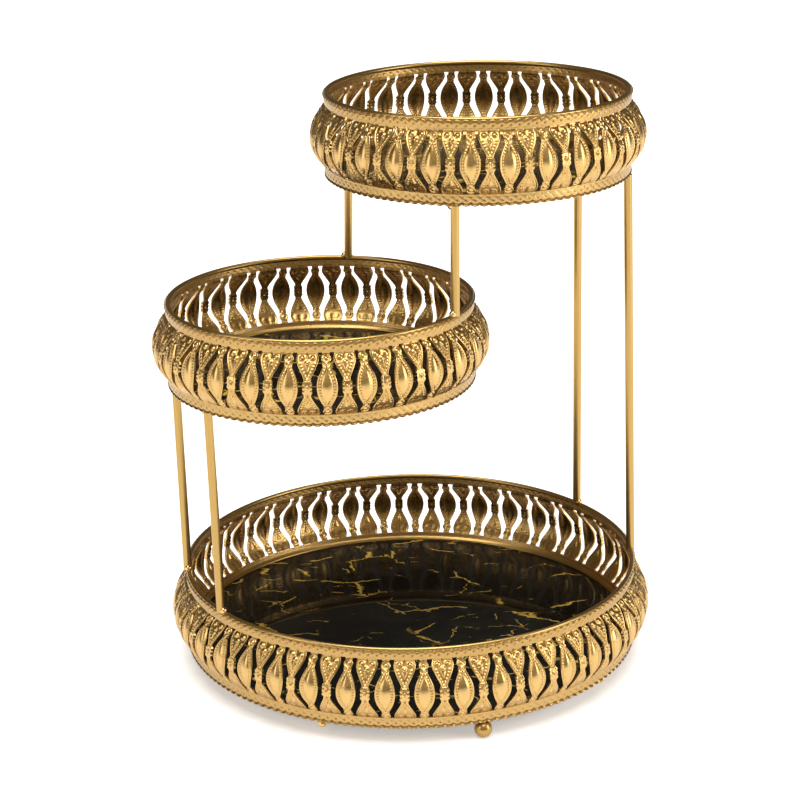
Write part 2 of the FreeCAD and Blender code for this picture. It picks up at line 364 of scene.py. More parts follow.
@dataclass(frozen=True)
class MarbleGlassFinish:
    """Black marble print under polished glass, with gold cracks and grey threads.

    Sizes are in millimetres. Widths of cracks are shares of the cells between them.
    """

    name: str
    shift: tuple[float, float, float] = (0.0, 0.0, 0.0)
    ground: Colour = (0.003, 0.003, 0.0025)
    cloud: Colour = (0.012, 0.0115, 0.009)
    gold: Colour = (0.78, 0.50, 0.09)
    thread: Colour = (0.16, 0.155, 0.14)
    stretch: tuple[float, float, float] = (1.0, 1.45, 1.0)
    drift_scale: float = 26.0
    drift_reach: tuple[float, float, float] = (0.035, 0.035, 0.0)
    crack: tuple[float, float] = (70.0, 0.017)
    fine_crack: tuple[float, float] = (30.0, 0.018)
    crack_core: float = 0.35
    crack_patch: float = 34.0
    fine_patch: float = 24.0
    blot_size: float = 8.0
    cloud_size: float = 30.0
    sparkle_size: float = 1.2
    sparkle_tone: float = 0.55
    thread_share: float = 0.07
    gilt_metal: float = 0.2
    print_roughness: float = 0.22
    gilt_polish: float = 0.1

    def _cracks(self, bench: Bench, where: Wire, cell: float, width: float) -> Wire:
        """Thin wandering lines between irregular cells.

        Args:
            bench: The material's bench.
            where: Bent coordinates.
            cell: Size of the cells.
            width: Width of the lines as a share of a cell.

        Returns:
            1 on the lines, 0 elsewhere.
        """
        edge = bench.node("ShaderNodeTexVoronoi", {"feature": "DISTANCE_TO_EDGE"},
                          {"Vector": where, "Scale": 1 / (cell * MM), "Randomness": 1.0},
                          "Distance")
        return 1 - edge.stepped(width * self.crack_core, width)

    def make(self) -> bpy.types.Material:
        """Build the material.

        Returns:
            The material.
        """
        bench = Bench(self.name)
        where = bench.place(self.stretch, self.shift)
        drift = bench.node("ShaderNodeTexNoise", {}, {
            "Vector": where, "Scale": self.drift_scale, "Detail": 5.0, "Roughness": 0.62}, "Color")
        bent = bench.node("ShaderNodeVectorMath", {"operation": "MULTIPLY_ADD"},
                          {0: drift, 1: self.drift_reach, 2: where})
        lines = self._cracks(bench, bent, *self.crack)
        fine = self._cracks(bench, bent, *self.fine_crack)
        there = bench.clouds(where, self.crack_patch, 2.0).stepped(0.50, 0.58)
        here = bench.clouds(where, self.fine_patch, 2.0).stepped(0.56, 0.62)
        blots = bench.clouds(bent, self.blot_size, 5.0, 0.72).stepped(0.66, 0.70) * there
        gilt = (lines * there + fine * here + blots).clipped()
        threads = (fine * (1 - here) * self.thread_share).clipped()
        mist = bench.clouds(bent, self.cloud_size, 5.0, 0.6).stepped(0.4, 0.75)
        veined = bench.mix(threads, bench.mix(mist, self.ground, self.cloud), self.thread)
        sparkle = bench.clouds(where, self.sparkle_size, 3.0, 0.7)
        gold = bench.mix(sparkle, shade(self.gold, self.sparkle_tone), self.gold)
        return bench.finish({
            "Base Color": bench.mix(gilt, veined, gold), "Metallic": gilt * self.gilt_metal,
            "Roughness": self.print_roughness - self.gilt_polish * gilt,
            "Coat Weight": 0.34, "Coat Roughness": 0.015, "Coat IOR": 1.45,
            "Specular IOR Level": 0.05})


@dataclass(frozen=True)
class FloorFinish:
    """Pale studio floor with a wide painted pool of light that fades out round its edge.
    It also glows in its own colour: painted light that lifts the shadows on it.

    The pool is measured in metres from the middle of the floor.
    """

    name: str = "studio_floor"
    pale: float = 0.93
    patch_tone: float = 0.985
    patch_size: float = 400.0
    # Painted fall-off: tone of the floor beyond the pool of light.
    dim: float = 0.07
    shadow_lifting_glow: float = 0.4
    pool_start: float = 5.5
    pool_end: float = 8.0

    def make(self) -> bpy.types.Material:
        """Build the material.

        Returns:
            The material.
        """
        bench = Bench(self.name)
        where = bench.place()
        patches = bench.clouds(where, self.patch_size, 2.0)
        white = (self.pale,) * 3
        pale = bench.mix(patches, white, shade(white, self.patch_tone))
        reach = bench.node("ShaderNodeVectorMath", {"operation": "LENGTH"}, {0: where}, "Value")
        tone = bench.mix(reach.stepped(self.pool_start, self.pool_end), pale, (self.dim,) * 3)
        # The floor's colour is also emitted: painted light that fills the shadows on it.
        return bench.finish({"Base Color": tone, "Roughness": 0.85,
                             "Specular IOR Level": 0.1, "Emission Color": tone,
                             "Emission Strength": self.shadow_lifting_glow})


# ---------------------------------------------------------------- mesh drafting


@dataclass
class Draft:
    """Points and faces gathered before they become one mesh."""

    points: list[Array] = field(default_factory=list)
    faces: list[Array] = field(default_factory=list)
    relief: list[Array] = field(default_factory=list)
    count: int = 0

    def add(self, points: Array, faces: Array, relief: Array | None = None) -> None:
        """Add loose points and the faces between them.

        Args:
            points: N by 3, in millimetres.
            faces: M by any number of corners, as indices into these points.
            relief: Height of each point above the sheet, if it has any.
        """
        self.points.append(points.reshape(-1, 3))
        self.faces.append(faces + self.count)
        heights = np.zeros(len(self.points[-1])) if relief is None else relief.reshape(-1)
        self.relief.append(heights)
        self.count += len(self.points[-1])

    def build(self, name: str, finish: bpy.types.Material) -> bpy.types.Object:
        """Make the mesh object and let it ride on the stand.

        Args:
            name: Name of the piece.
            finish: Its material.

        Returns:
            The object.
        """
        points = np.concatenate(self.points) * MM
        corners = np.concatenate([faces.ravel() for faces in self.faces]).astype(np.int32)
        sizes = np.concatenate([np.full(len(faces), faces.shape[1]) for faces in self.faces])
        mesh = bpy.data.meshes.new(name)
        mesh.vertices.add(len(points))
        mesh.vertices.foreach_set("co", points.astype(np.float32).ravel())
        mesh.loops.add(len(corners))
        mesh.loops.foreach_set("vertex_index", corners)
        mesh.polygons.add(len(sizes))
        starts = np.concatenate([[0], np.cumsum(sizes)[:-1]]).astype(np.int32)
        mesh.polygons.foreach_set("loop_start", starts)
        mesh.update(calc_edges=True)
        heights = mesh.attributes.new(RELIEF, "FLOAT", "POINT")
        heights.data.foreach_set("value", np.concatenate(self.relief).astype(np.float32))
        mesh.polygons.foreach_set("use_smooth", np.ones(len(sizes), dtype=bool))
        mesh.set_sharp_from_angle(angle=math.radians(SHARP_ANGLE))
        mesh.materials.append(finish)
        piece = bpy.data.objects.new(name, mesh)
        bpy.context.scene.collection.objects.link(piece)
        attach(piece, ROOT_BODY)
        LOG.info("%s: %d faces", name, len(sizes))
        return piece

    def replace(self, name: str, finish: bpy.types.Material, node: str) -> bpy.types.Object:
        """Make the piece that is shown instead of a packed one.

        Args:
            name: Name of the piece.
            finish: Its material.
            node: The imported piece.

        Returns:
            The object.
        """
        piece = self.build(name, finish)
        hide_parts(node)
        return piece


def grid_faces(rows: int, columns: int, wrap_rows: bool = False,
               wrap_columns: bool = False) -> Array:
    """Faces of a grid whose points run row by row.

    Args:
        rows: Number of rows of points.
        columns: Number of points in a row.
        wrap_rows: Whether the last row joins the first.
        wrap_columns: Whether the last column joins the first.

    Returns:
        Indices, one row of four a face.
    """
    i = np.arange(rows if wrap_rows else rows - 1)
    j = np.arange(columns if wrap_columns else columns - 1)
    i, j = np.meshgrid(i, j, indexing="ij")
    i2, j2 = (i + 1) % rows, (j + 1) % columns
    return np.stack([i * columns + j, i * columns + j2, i2 * columns + j2, i2 * columns + j],
                    axis=-1).reshape(-1, 4)


@dataclass(frozen=True)
class Boss:
    """Round raised dot of the pressed pattern."""

    radius: float
    height: float

    def rise(self, across: Array, along: Array) -> Array:
        """Height of the dot.

        Args:
            across: Distances from its centre across the column.
            along: Distances from its centre along the column.

        Returns:
            Heights, 0 outside the dot.
        """
        share = 1 - (across / self.radius) ** 2 - (along / self.radius) ** 2
        return self.height * np.maximum(0.0, share)


@dataclass(frozen=True)
class Ridge:
    """Rounded raised line of the pressed pattern."""

    width: float
    height: float

    def rise(self, distance: Array) -> Array:
        """Height of the line.

        Args:
            distance: Distances from its middle.

        Returns:
            Heights.
        """
        return self.height * np.exp(-((distance / self.width) ** 2))


# ------------------------------------------------------------------- the trays


@dataclass(frozen=True)
class TrayPlan:
    """One tray's place and pattern."""

    label: str
    x: float
    y: float
    base: float
    radius: float
    repeats: int
    turn: float
    panels: int

    @classmethod
    def read(cls, label: str, repeats: int, turn: float, panels: int) -> "TrayPlan":
        """Take a tray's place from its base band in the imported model.

        Args:
            label: lower, middle or upper.
            repeats: Petal-and-heart pairs round the wall.
            turn: Direction of one petal, in degrees.
            panels: Number of pieces that the wall is built in.

        Returns:
            The plan, in millimetres.
        """
        low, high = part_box(f"{label}_base_braid")
        return cls(label, (low[0] + high[0]) / 2 / MM, (low[1] + high[1]) / 2 / MM, low[2] / MM,
                   (high[1] - low[1]) / 2 / MM, repeats, turn, panels)

    def point(self, angle: Array, radius: Array, height: Array) -> Array:
        """Points round the tray.

        Args:
            angle: Angles in radians.
            radius: Radii.
            height: Heights above the tray's underside.

        Returns:
            Points in millimetres.
        """
        angle, radius, height = np.broadcast_arrays(angle, radius, height)
        return np.stack([self.x + radius * np.cos(angle), self.y + radius * np.sin(angle),
                         self.base + height], axis=-1)


@dataclass(frozen=True)
class WallSection:
    """Section of the bulging wall, measured from the base radius and the underside."""

    bottom: float = 7.4
    widest: float = 24.0
    top: float = 45.6
    depth: float = 8.7
    inset: float = 1.3
    reach: float = 47.3
    length: float = 45.5
    overrun: float = 1.2
    samples: int = 800

    def radius(self, height: Array) -> Array:
        """Distance of the outer face from the base radius.

        Args:
            height: Heights above the underside.

        Returns:
            Distances, positive outwards.
        """
        below = (self.widest - height) / (self.widest - self.bottom)
        above = (height - self.widest) / (self.top - self.widest)
        return np.where(height < self.widest, self.depth - self.depth * below ** 2,
                        self.depth - (self.depth + self.inset) * above ** 2)

    def sample(self, along: Array) -> tuple[Array, Array, Array, Array]:
        """Walk up the section.

        Args:
            along: Distances along it, where its whole length counts as self.length.

        Returns:
            Radius offset, height, and the two parts of the outward normal.
        """
        height = np.linspace(self.bottom - self.overrun, self.reach + self.overrun, self.samples)
        inside = np.clip(height, self.bottom, self.top)
        offset = self.radius(inside)
        run = np.concatenate([[0], np.cumsum(np.hypot(np.diff(offset), np.diff(height)))])
        start, end = np.interp([self.bottom, self.reach], height, run)
        place = start + along / self.length * (end - start)
        slope_r = np.interp(place, run, np.gradient(offset, run))
        slope_z = np.interp(place, run, np.gradient(height, run))
        norm = np.hypot(slope_r, slope_z)
        return (np.interp(place, run, offset), np.interp(place, run, height),
                slope_z / norm, -slope_r / norm)


@dataclass(frozen=True)
class PetalColumn:
    """Pointed petal between two ringed collars."""

    length: float = 45.5
    collar: float = 9.5
    neck: float = 2.2
    belly: float = 4.05
    pointed: float = 1.25
    ring_centre: float = 4.7
    ring_radius: float = 3.0
    ring_stem: float = 4.4
    ring_line: float = 2.5
    knot_centre: float = 8.3
    knot_width: float = 2.5
    knot_curve: float = 0.5
    bead_pitch: float = 1.75
    bead_inset: float = 1.8
    bead_limit: float = 0.93
    outline_inset: float = 0.45
    lens_inset: float = 2.6
    lens_base: float = 0.1
    lens_rise: float = 0.95
    outline: Ridge = Ridge(0.42, 0.34)
    ring: Ridge = Ridge(0.45, 0.45)
    ring_bead: Boss = Boss(1.6, 0.7)
    knot: Boss = Boss(1.1, 0.7)
    bead: Boss = Boss(0.66, 0.5)

    def _petal_width(self, share: Array) -> Array:
        """Half the petal's width.

        Args:
            share: Place between the petal's tips, from -1 to 1.

        Returns:
            Half widths.
        """
        return self.neck + self.belly * np.maximum(0.0, 1 - share ** 2) ** self.pointed

    def _share(self, along: Array) -> Array:
        """Place between the petal's tips, from -1 to 1.

        Args:
            along: Distance up the column.

        Returns:
            The places, held between the tips.
        """
        return np.clip((along - self.length / 2) / (self.length / 2 - self.collar), -1, 1)

    def half_width(self, along: Array) -> Array:
        """Half the column's width.

        Args:
            along: Distance up the column.

        Returns:
            Half widths.
        """
        end = np.minimum(along, self.length - along)
        circle = self.ring_radius ** 2 - (end - self.ring_centre) ** 2
        ring = np.sqrt(np.maximum(circle, self.ring_stem))
        knot = self.knot_width - self.knot_curve * (end - self.knot_centre) ** 2
        collar = np.maximum(ring, np.maximum(knot, self.neck))
        return np.where(end < self.collar, collar, self._petal_width(self._share(along)))

    def relief(self, across: Array, along: Array) -> Array:
        """Height of the pressed pattern.

        Args:
            across: Distance from the column's centre line.
            along: Distance up the column.

        Returns:
            Heights above the sheet.
        """
        side = np.abs(across)
        share = self._share(along)
        body = np.maximum(self._petal_width(share) - self.lens_inset, 0.05)
        lens = np.maximum(0.0, 1 - (side / body) ** 2)
        dome = (self.lens_base + self.lens_rise * (1 - share ** 2)) * lens
        middle = self.length / 2
        nearest = middle + np.round((along - middle) / self.bead_pitch) * self.bead_pitch
        at_bead = self._share(nearest)
        centre = np.maximum(self._petal_width(at_bead) - self.bead_inset, 0.0)
        beads = self.bead.rise(side - centre, along - nearest) * (np.abs(at_bead) < self.bead_limit)
        outline = self.outline.rise(self.half_width(along) - side - self.outline_inset)
        end = np.minimum(along, self.length - along)
        from_ring = np.hypot(side, end - self.ring_centre)
        collar = np.maximum.reduce([self.ring.rise(from_ring - self.ring_line),
                                    self.ring_bead.rise(side, end - self.ring_centre),
                                    self.knot.rise(side, end - self.knot_centre)])
        return np.where(end < self.collar, collar, outline + np.maximum(dome, beads))


@dataclass(frozen=True)
class HeartColumn:
    """Two hearts point to point, with a knotted waist between them."""

    length: float = 45.5
    outline: tuple[tuple[float, float], ...] = (
        (0.0, 2.6), (3.6, 2.6), (4.2, 2.1), (5.6, 2.1), (8.4, 3.4), (11.0, 4.7),
        (14.0, 5.9), (16.5, 6.6), (18.7, 6.8), (20.6, 6.4), (22.0, 5.8), (24.5, 5.5))
    outline_step: float = 0.1
    outline_blend: int = 8
    waist: float = 3.9
    knob: float = 0.36
    knob_pitch: float = 2.5
    knob_reach: float = 3.7
    bead_pitch: float = 1.85
    bead_inset: float = 1.9
    first_bead: float = 5.4
    last_bead: float = 14.65
    rim_inset: float = 0.45
    rim: Ridge = Ridge(0.42, 0.34)
    bead: Boss = Boss(0.7, 0.52)
    lobe_place: tuple[float, float] = (3.2, 18.4)
    lobe: Boss = Boss(1.75, 0.75)
    heart_centre: float = 15.3
    heart: Boss = Boss(1.6, 0.75)
    drop_start: float = 8.6
    drop_end: float = 13.6
    drop_length: float = 5.6
    drop_width: float = 2.1
    drop_height: float = 0.7
    scroll_place: tuple[float, float] = (2.3, 19.0)
    scroll_radius: float = 1.5
    scroll_start: float = 17.0
    scroll: Ridge = Ridge(0.42, 0.3)
    scroll_eye: Boss = Boss(0.85, 0.4)
    cleft: Ridge = Ridge(0.6, -0.4)
    cleft_start: float = 17.6
    knot_rise: float = 0.4
    knot_radius: float = 1.15
    knot: Ridge = Ridge(0.35, 0.4)
    knot_eye: Ridge = Ridge(0.6, -0.5)
    lug_rise: float = 0.25
    lug_start: float = 1.7

    def half_width(self, along: Array) -> Array:
        """Half the column's width.

        Args:
            along: Distance up the column.

        Returns:
            Half widths.
        """
        out = np.abs(along - self.length / 2)
        table = np.array(self.outline)
        end = table[-1, 0]
        fine = np.linspace(0, end, round(end / self.outline_step) + 1)
        width = np.pad(np.interp(fine, table[:, 0], table[:, 1]), self.outline_blend, mode="edge")
        window = 2 * self.outline_blend + 1
        width = np.convolve(width, np.ones(window) / window, mode="valid")
        return np.interp(out, fine, width) + self.knob * self._wave(out) * (out < self.knob_reach)

    def _wave(self, out: Array) -> Array:
        """Rows of small knobs along the waist.

        Args:
            out: Distance from the middle of the waist.

        Returns:
            1 on a knob, 0 between two.
        """
        return np.abs(np.cos(np.pi * out / self.knob_pitch))

    def relief(self, across: Array, along: Array) -> Array:
        """Height of the pressed pattern.

        Args:
            across: Distance from the column's centre line.
            along: Distance up the column.

        Returns:
            Heights above the sheet.
        """
        offset = along - self.length / 2
        out, side = np.abs(offset), np.abs(across)
        row = np.round((out - self.first_bead) / self.bead_pitch)
        nearest = np.clip(self.first_bead + row * self.bead_pitch, self.first_bead, self.last_bead)
        centre = np.maximum(self.half_width(self.length / 2 + nearest) - self.bead_inset, 0.0)
        beads = self.bead.rise(side - centre, out - nearest)
        width = np.clip((out - self.drop_start) / self.drop_length, 0.02, 1.0) * self.drop_width
        drop = self.drop_height * np.maximum(0.0, 1 - (side / width) ** 2)
        drop = drop * (out > self.drop_start) * (out < self.drop_end)
        top = [beads, drop, self.heart.rise(side, out - self.heart_centre),
               self.lobe.rise(side - self.lobe_place[0], out - self.lobe_place[1])]
        across_scroll, up_scroll = side - self.scroll_place[0], out - self.scroll_place[1]
        curl = self.scroll.rise(np.hypot(across_scroll, up_scroll) - self.scroll_radius)
        bottom = [beads, drop, curl * (out > self.scroll_start),
                  self.scroll_eye.rise(across_scroll, up_scroll)]
        height = np.where(offset > 0, np.maximum.reduce(top), np.maximum.reduce(bottom))
        height = height + self.rim.rise(self.half_width(along) - side - self.rim_inset)
        height = height + self.cleft.rise(side) * (out > self.cleft_start)
        from_eye = np.hypot(side, out)
        knot = self.knot.rise(from_eye - self.knot_radius) + self.knot_eye.rise(from_eye)
        knot = self.knot_rise + knot + self.lug_rise * self._wave(out) * (side > self.lug_start)
        return np.where(out < self.waist, knot, height)


@dataclass
class LaceWall:
    """Openwork wall of one tray: petals and hearts by turns, pressed both ways."""

    plan: TrayPlan
    finish: bpy.types.Material
    section: WallSection = field(default_factory=WallSection)
    petal: PetalColumn = field(default_factory=PetalColumn)
    heart: HeartColumn = field(default_factory=HeartColumn)
    row_step: float = 0.42
    sheet: float = 0.9
    back_share: float = 0.65
    overrun: float = 0.9
    face_insets: tuple[float, ...] = (0.0, 0.22, 0.48, 0.75, 1.05, 1.4, 1.75, 2.1, 2.45, 2.8,
                                      3.15)
    face_shares: tuple[float, ...] = (0.875, 0.75, 0.625, 0.5, 0.375, 0.25, 0.125, 0.0)
    back_insets: tuple[float, ...] = (0.0, 0.35, 0.8, 1.3, 1.9, 2.5, 3.15)
    back_shares: tuple[float, ...] = (0.66, 0.33, 0.0)
    inset_share: float = 0.7

    def _rows(self) -> Array:
        """Distances of the rows of points up the wall."""
        half = self.section.length / 2 + self.overrun
        steps = int(round(half / self.row_step))
        return self.section.length / 2 + np.arange(-steps, steps + 1) * self.row_step

    def _across(self, width: Array, insets: Sequence[float], shares: Sequence[float]) -> Array:
        """Places of the points across a column.

        Args:
            width: Half width at each row.
            insets: Distances from the edge, where the column is wide enough.
            shares: Shares of what is left, down to the centre line.

        Returns:
            Rows by points, from left to right.
        """
        shrink = np.minimum(1.0, self.inset_share * width / insets[-1])[:, None]
        outer = width[:, None] - shrink * np.array(insets)[None, :]
        inner = outer[:, -1:] * np.array(shares)[None, :]
        half = np.concatenate([outer, inner], axis=1)
        return np.concatenate([-half, half[:, -2::-1]], axis=1)

    def _column(self, column: PetalColumn | HeartColumn) -> tuple[Array, Array, Array, Array]:
        """One column as a closed tube of points.

        Args:
            column: The petal or heart column.

        Returns:
            Angle, radius offset, height and relief, rows by points round the tube.
        """
        rows = self._rows()
        inside = np.clip(rows, 0.0, self.section.length)
        offset, height, normal_r, normal_z = self.section.sample(rows)
        width = column.half_width(inside)
        face = self._across(width, self.face_insets, self.face_shares)
        back = self._across(width, self.back_insets, self.back_shares)[:, ::-1]
        face_relief = column.relief(face, np.broadcast_to(inside[:, None], face.shape))
        back_relief = column.relief(back, np.broadcast_to(inside[:, None], back.shape))
        rise = np.concatenate([face_relief, -self.sheet - self.back_share * back_relief], axis=1)
        angle = np.concatenate([face, back], axis=1) / (self.plan.radius + offset)[:, None]
        marks = np.concatenate([face_relief, back_relief], axis=1)
        return (angle, offset[:, None] + rise * normal_r[:, None],
                height[:, None] + rise * normal_z[:, None], marks)

    def build(self) -> list[bpy.types.Object]:
        """Build the wall in panels.

        Returns:
            The panels.
        """
        columns = (self._column(self.petal), self._column(self.heart))
        pitch = 2 * np.pi / self.plan.repeats
        start = math.radians(self.plan.turn)
        bounds = np.linspace(0, self.plan.repeats, self.plan.panels + 1).round().astype(int)
        made = []
        for panel in range(self.plan.panels):
            draft = Draft()
            for index in range(bounds[panel], bounds[panel + 1]):
                for half, (angle, offset, height, marks) in enumerate(columns):
                    turn = start + (index + half / 2) * pitch
                    points = self.plan.point(turn + angle, self.plan.radius + offset, height)
                    rows, count = angle.shape
                    ends = np.stack([np.arange(count), rows * count - 1 - np.arange(count)])
                    draft.add(points, grid_faces(rows, count, wrap_columns=True), marks)
                    draft.faces.append(ends + draft.count - rows * count)
            made.append(draft.replace(f"{self.plan.label}_lace_panel_{panel + 1}", self.finish,
                                      f"{self.plan.label}_lace_gallery"))
        return made


class FreeEdge(Enum):
    """Which edge of a plaited band is scalloped."""

    TOP = 1
    BOTTOM = -1


@dataclass
class PlaitedBand:
    """Pressed band with a two-strand plait and one scalloped edge."""

    plan: TrayPlan
    finish: bpy.types.Material
    node: str
    edge: FreeEdge
    straight_height: float
    straight_offset: float = 0.0
    depth: float = 1.0
    flare: float = 0.0
    width: float = 5.3
    scallop: float = 1.0
    scallop_shape: float = 0.8
    period: float = 10.8
    swing: float = 1.35
    strand: float = 1.45
    strand_rise: float = 0.3
    strand_lift: float = 0.1
    sheet: float = 1.3
    back_share: float = 0.5
    steps: int = 26
    rows: int = 16
    lip_inset: float = 0.5
    lip: Ridge = Ridge(0.42, 0.5)
    groove_inset: float = 1.4
    groove: Ridge = Ridge(0.35, 0.35)
    hem_inset: float = 0.35
    hem: Ridge = Ridge(0.4, 0.25)
    pit: Ridge = Ridge(0.4, 0.5)
    pit_slant: tuple[float, float] = (0.8, 0.6)
    pit_stretch: float = 0.5

    def _relief(self, along: Array, reach: Array, phase: Array) -> Array:
        """Height of the plait.

        Args:
            along: Distance from the straight edge.
            reach: Distance of the scalloped edge from the straight one.
            phase: Phase of the plait in radians.

        Returns:
            Heights above the sheet.
        """
        rise = along - self.width / 2
        height = np.zeros(np.broadcast_shapes(along.shape, phase.shape))
        for sign in (1, -1):
            from_strand = rise - sign * self.swing * np.sin(phase)
            arch = np.sqrt(np.maximum(0.0, 1 - (from_strand / self.strand) ** 2))
            lift = self.strand_lift * sign * np.cos(phase)
            height = np.maximum(height, self.depth * (arch * self.strand_rise + lift) * (arch > 0))
        run = (np.mod(phase, np.pi) - np.pi / 2) * self.period / (2 * np.pi)
        ahead, up = self.pit_slant
        from_pit = np.hypot((run * ahead + rise * up) * self.pit_stretch, run * up - rise * ahead)
        raised = np.maximum.reduce([height, self.hem.rise(along - self.hem_inset),
                                    self.lip.rise(along - reach + self.lip_inset)])
        # The groove and the pits are real dents; the gold finish also paints shade into them.
        groove = self.groove.rise(along - reach + self.groove_inset)
        return raised - self.pit.rise(from_pit) - groove

    def build(self) -> bpy.types.Object:
        """Build the band.

        Returns:
            The piece.
        """
        periods = round(2 * math.pi * self.plan.radius / self.period)
        count = periods * self.steps
        angle = np.linspace(0, 2 * np.pi, count, endpoint=False)[:, None]
        phase = angle * periods
        reach = self.width + self.scallop * np.abs(np.sin(phase)) ** self.scallop_shape
        share = np.linspace(0, 1, self.rows)[None, :]
        along = share * reach
        relief = self._relief(along, reach, phase)
        offset = self.straight_offset * (1 - along / self.width)
        height = self.straight_height + self.edge.value * along
        outer = self.plan.point(angle, self.plan.radius + offset + relief, height)
        back = offset - self.sheet - self.flare * share - self.back_share * relief
        inner = self.plan.point(angle, self.plan.radius + back, height)
        points = np.concatenate([outer, inner[:, ::-1]], axis=1)
        marks = np.concatenate([relief, relief[:, ::-1]], axis=1)
        draft = Draft()
        draft.add(points, grid_faces(count, 2 * self.rows, True, True), marks)
        return draft.replace(f"{self.plan.label}_{self.node}_plait", self.finish,
                             f"{self.plan.label}_{self.node}")


@dataclass
class TrayRings:
    """Smooth turned parts of one tray: the rim wire and the base hoop."""

    plan: TrayPlan
    finish: bpy.types.Material
    rim_inset: float = 1.9
    rim_height: float = 52.6
    wire: float = 3.2
    segments: int = 240
    sides: int = 20
    waves: tuple[tuple[float, int, float], ...] = ((0.05, 5, 0.0), (0.04, 13, 1.0))
    hoop: tuple[tuple[float, float], ...] = (
        (12.0, 0.4), (1.5, 0.4), (1.5, 5.4), (1.7, 5.7), (2.3, 5.75), (2.8, 5.5), (4.3, 4.1),
        (4.55, 3.8), (4.6, 3.4), (4.6, 0.8), (12.0, 0.8))

    def build_wire(self) -> bpy.types.Object:
        """Build the rim wire, with the faint unevenness of bent rod.

        Returns:
            The piece.
        """
        turns = np.linspace(0, 2 * np.pi, self.segments, endpoint=False)
        section = np.linspace(0, 2 * np.pi, self.sides, endpoint=False)
        wave = sum(size * np.sin(count * turns + start) for size, count, start in self.waves)
        ring = self.plan.radius - self.rim_inset + wave[:, None]
        radius = ring + self.wire / 2 * np.cos(section)[None, :]
        height = self.rim_height + self.wire / 2 * np.sin(section)[None, :]
        draft = Draft()
        draft.add(self.plan.point(turns[:, None], radius, height),
                  grid_faces(self.segments, self.sides, True, True))
        return draft.replace(f"{self.plan.label}_rim_round_wire", self.finish,
                             f"{self.plan.label}_rim_wire")

    def build_hoop(self) -> bpy.types.Object:
        """Build the base hoop with its ledge and softened top.

        Returns:
            The piece.
        """
        turns = np.linspace(0, 2 * np.pi, self.segments, endpoint=False)
        inset, height = np.array(self.hoop).T
        draft = Draft()
        draft.add(self.plan.point(turns[:, None], self.plan.radius - inset, height),
                  grid_faces(self.segments, len(inset), True, True))
        return draft.replace(f"{self.plan.label}_base_smooth_hoop", self.finish,
                             f"{self.plan.label}_base_hoop")


@dataclass
class FloorWire:
    """Wire under the lower tray, with thick melted ends that hang a little."""

    node: str
    finish: bpy.types.Material
    radius: float = 2.0
    swelling: float = 0.65
    swelling_reach: float = 2.4
    sag: float = 1.7
    sag_reach: float = 5.0
    tip: float = 2.6
    end_length: float = 12.0
    end_rows: int = 30
    bearing: float = -73.0
    sides: int = 20

    def _half(self) -> tuple[Array, Array]:
        """Section of the wire as it comes in from one end.

        Returns:
            Distances from the end, and the radius and the drop there.
        """
        from_end = np.linspace(0.01, self.end_length, self.end_rows)
        cap = np.sqrt(1 - np.maximum(0.0, 1 - from_end / self.tip) ** 2)
        swell = self.swelling * np.exp(-((from_end - self.tip) / self.swelling_reach) ** 2)
        drop = self.sag * np.exp(-(from_end / self.sag_reach) ** 2)
        return from_end, np.stack([(self.radius + swell) * cap, drop])

    def build(self) -> bpy.types.Object:
        """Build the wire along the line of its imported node.

        Returns:
            The piece.
        """
        low, high = (np.array(corner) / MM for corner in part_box(self.node))
        bearing = math.radians(self.bearing)
        ahead = np.array([math.cos(bearing), math.sin(bearing), 0.0])
        aside = np.array([ahead[1], -ahead[0], 0.0])
        half = ((high[1] - low[1]) / 2 - self.radius * abs(ahead[0])) / abs(ahead[1])
        from_end, (thick, drop) = self._half()
        along = np.concatenate([from_end - half, [0.0], (half - from_end)[::-1]])
        thick = np.concatenate([thick, [self.radius], thick[::-1]])[:, None]
        drop = np.concatenate([drop, [0.0], drop[::-1]])[:, None]
        turn = -np.linspace(0, 2 * np.pi, self.sides, endpoint=False)
        upright = np.array([0.0, 0.0, 1.0])
        points = ((low + high) / 2 + along[:, None, None] * ahead
                  + (thick * np.cos(turn))[:, :, None] * aside
                  + (thick * np.sin(turn) - drop)[:, :, None] * upright)
        draft = Draft()
        draft.add(points, grid_faces(len(along), self.sides, wrap_columns=True))
        first = np.arange(self.sides)
        draft.faces.append(np.array([first[::-1], draft.count - self.sides + first]))
        return draft.replace(f"{self.node}_melted", self.finish, self.node)


@dataclass
class Stand:
    """Rods, weld beads, ball feet and floor wires that carry the trays."""

    smooth: bpy.types.Material
    bead: bpy.types.Material
    smooth_nodes: tuple[str, ...] = (
        "rod_lower_middle_outer", "rod_lower_middle_front", "rod_middle_upper_back",
        "rod_middle_upper_front", "rod_lower_upper_back", "rod_lower_upper_outer",
        "ball_foot_front", "ball_foot_right", "ball_foot_left")
    bead_nodes: tuple[str, ...] = ("lower_rim_welds", "middle_rim_welds", "middle_base_welds",
                                   "upper_base_welds")
    floor_wires: tuple[str, ...] = ("floor_wire_left", "floor_wire_right")

    def build(self, frame: Mapping[str, object]) -> None:
        """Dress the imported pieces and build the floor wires.

        Args:
            frame: What the frame holds.
        """
        for node in self.smooth_nodes:
            dress_packed(frame, node, self.smooth)
        for node in self.bead_nodes:
            dress_packed(frame, node, self.bead)
        for node in self.floor_wires:
            FloorWire(node, self.bead).build()


def dress_packed(frame: Mapping[str, object], label: str, finish: bpy.types.Material) -> None:
    """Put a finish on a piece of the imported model.

    Args:
        frame: What the frame holds.
        label: The piece.
        finish: Its material.
    """
    mesh = frame["nodes"][label].data
    mesh.materials.clear()
    mesh.materials.append(finish)
    LOG.info("%s: dressed", label)


# ------------------------------------------------------------------- the studio


